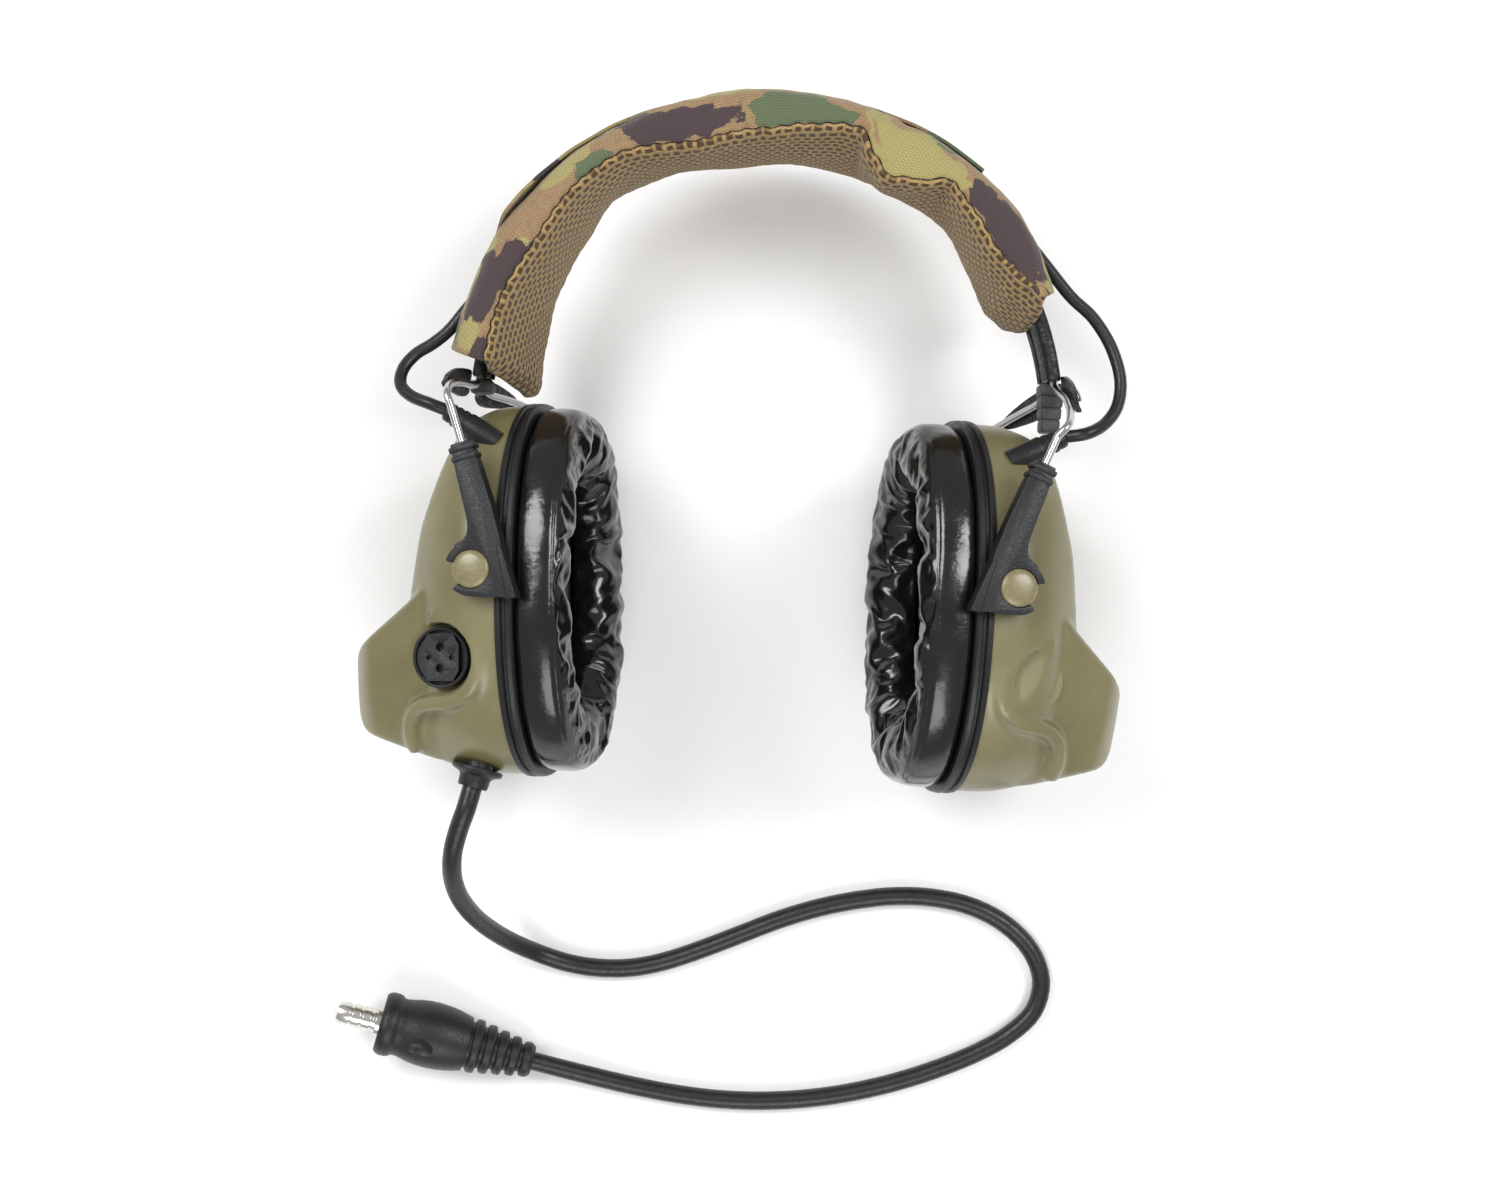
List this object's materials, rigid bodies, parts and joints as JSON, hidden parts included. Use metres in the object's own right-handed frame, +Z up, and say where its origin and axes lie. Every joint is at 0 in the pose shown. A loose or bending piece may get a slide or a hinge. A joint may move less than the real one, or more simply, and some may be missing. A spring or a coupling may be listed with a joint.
{
  "type": "communication headset",
  "caption": "Over-ear communication headset with olive cups on fork arms, spring-wire headband in a camouflage cloth cover, and a cable to a moulded plug.",
  "frame": {"origin": "centre of the headset's footprint on the table it lies on, measured without the lead and its plug", "axes": "+X from the cup with the lead to the other cup, +Y from the cups to the crown, +Z up from the table; the headset lies on its back with its front face up"},
  "size_m": [0.2328, 0.3023, 0.0937],
  "materials": {
    "olive_shell": "semi-gloss moulded olive drab",
    "stud_olive": "satin lighter olive",
    "black_plastic": "satin moulded black",
    "black_rubber": "satin black rubber",
    "cable_jacket": "satin black cable jacket",
    "spring_steel": "bright drawn wire",
    "black_leather": "grained black leatherette and webbing",
    "camo_cloth": "four-colour camouflage twill",
    "tan_mesh": "tan spacer mesh",
    "cushion_vinyl": "glossy creased black vinyl over foam",
    "liner_foam": "open dark foam",
    "charcoal_plastic": "satin charcoal",
    "board_green": "solder-masked laminate",
    "battery_sleeve": "printed shrink sleeve, no marks",
    "speaker_frame": "pressed metal basket",
    "plug_metal": "nickel-plated barrel"
  },
  "bodies": {
    "cup_left": {"shell_left": "olive_shell", "pivot_studs_left": "stud_olive", "seal_ring_left": "black_rubber", "baffle_left": "black_plastic", "baffle_screws_left": "spring_steel", "foam_liner_left": "liner_foam", "ear_cushion_left": "cushion_vinyl", "speaker_left": "speaker_frame", "circuit_board_left": "board_green", "battery_cell_left": "battery_sleeve", "mic_cap_left": "black_plastic", "mic_capsule_left": "speaker_frame", "link_boot_left": "black_rubber", "mic_socket": "charcoal_plastic", "lead_gland": "black_rubber", "radio_lead": "cable_jacket", "plug_body": "black_rubber", "plug_barrel": "plug_metal"},
    "arms_left": {"front_arm_left": "black_plastic", "rear_arm_left": "black_plastic", "link_loop_left_upper": "cable_jacket", "link_loop_left_lower": "cable_jacket"},
    "headband": {"spring_wire_front": "spring_steel", "spring_wire_rear": "spring_steel", "head_strap": "black_leather", "band_end_left": "black_rubber", "band_end_right": "black_rubber", "strap_tabs_left": "black_leather", "strap_tabs_right": "black_leather", "cover_fabric": "camo_cloth", "cover_pad": "tan_mesh", "cover_flap": "camo_cloth", "link_run": "cable_jacket"},
    "arms_right": {"front_arm_right": "black_plastic", "rear_arm_right": "black_plastic", "link_loop_right_upper": "cable_jacket", "link_loop_right_lower": "cable_jacket"},
    "cup_right": {"shell_right": "olive_shell", "pivot_studs_right": "stud_olive", "seal_ring_right": "black_rubber", "baffle_right": "black_plastic", "baffle_screws_right": "spring_steel", "foam_liner_right": "liner_foam", "ear_cushion_right": "cushion_vinyl", "speaker_right": "speaker_frame", "circuit_board_right": "board_green", "battery_cell_right": "battery_sleeve", "mic_cap_right": "black_plastic", "mic_capsule_right": "speaker_frame", "link_boot_right": "black_rubber", "socket_blank": "olive_shell"},
    "power_button": {"power_button": "charcoal_plastic"},
    "volume_up_button": {"volume_up_button": "charcoal_plastic"},
    "volume_down_button": {"volume_down_button": "charcoal_plastic"},
    "battery_cap_left": {"battery_cap_left": "black_plastic"},
    "battery_cap_right": {"battery_cap_right": "black_plastic"}
  },
  "joints": [
    {"name": "left_tilt", "type": "hinge", "parent": "cup_left", "child": "arms_left", "pos_m": [-0.06303, -0.0367, 0.04677], "axis": [-0.1822, 0.0172, 0.9831], "range_deg": [-10, 10], "deforming": ["link_loop_left_lower"]},
    {"name": "left_height", "type": "slide", "parent": "arms_left", "child": "headband", "axis": [-0.2875, 0.9552, -0.07], "range_m": [-0.002, 0.018], "deforming": ["link_loop_left_upper"]},
    {"name": "right_height", "type": "slide", "parent": "headband", "child": "arms_right", "axis": [-0.4155, -0.9048, 0.0928], "range_m": [-0.002, 0.018], "deforming": ["link_loop_right_upper"]},
    {"name": "right_tilt", "type": "hinge", "parent": "arms_right", "child": "cup_right", "pos_m": [0.06727, -0.0418, 0.04685], "axis": [0.1822, 0.0172, 0.9831], "range_deg": [-10, 10], "deforming": ["link_loop_right_lower"]},
    {"name": "power_button_press", "type": "slide", "parent": "cup_left", "child": "power_button", "axis": [-0.1822, 0.0172, 0.9831], "range_m": [0, 0.0008], "stiffness_N_per_m": 2000, "springref_m": -0.0004},
    {"name": "volume_up_button_press", "type": "slide", "parent": "cup_left", "child": "volume_up_button", "axis": [-0.1822, 0.0172, 0.9831], "range_m": [0, 0.0008], "stiffness_N_per_m": 2000, "springref_m": -0.0004},
    {"name": "volume_down_button_press", "type": "slide", "parent": "cup_left", "child": "volume_down_button", "axis": [-0.1822, 0.0172, 0.9831], "range_m": [0, 0.0008], "stiffness_N_per_m": 2000, "springref_m": -0.0004},
    {"name": "battery_cap_left_turn", "type": "hinge", "parent": "cup_left", "child": "battery_cap_left", "pos_m": [-0.08761, -0.07025, 0.01533], "axis": [0.1822, -0.0172, -0.9831], "range_deg": [0, 90]},
    {"name": "battery_cap_right_turn", "type": "hinge", "parent": "cup_right", "child": "battery_cap_right", "pos_m": [0.08704, -0.07919, 0.01638], "axis": [-0.1822, -0.0172, -0.9831], "range_deg": [0, 90]}
  ]
}
